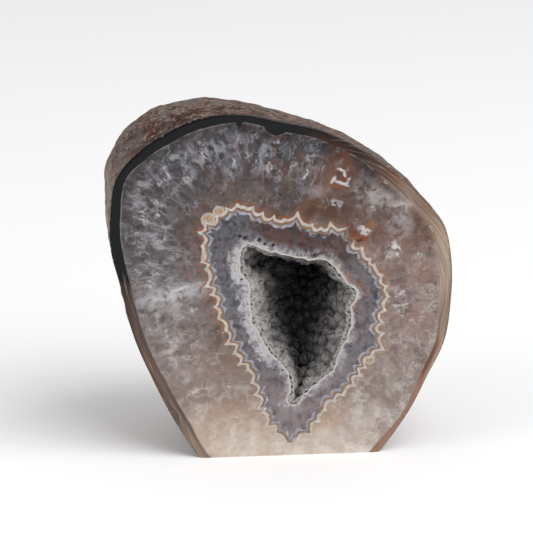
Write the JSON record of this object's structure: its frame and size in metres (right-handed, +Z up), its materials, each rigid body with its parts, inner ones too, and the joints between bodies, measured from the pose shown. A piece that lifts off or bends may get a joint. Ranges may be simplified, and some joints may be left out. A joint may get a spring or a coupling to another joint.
{
  "type": "agate geode",
  "caption": "Free-standing agate geode with a flat polished front, a hollow lined with small grey crystals, a rough natural back and a flat sawn base.",
  "frame": {"origin": "under the middle of the stone's bounding box, on the surface that it stands on", "axes": "+Z up from the sawn base, -Y out of the polished face, +X to the right when looking at that face"},
  "size_m": [0.1092, 0.062, 0.1122],
  "materials": {
    "agate": "polished front, satin base, rough rind",
    "crystal": "small sparkling crystal faces"
  },
  "bodies": {
    "root": {"agate_stone": "agate", "crystal_crust": "crystal"}
  },
  "joints": []
}
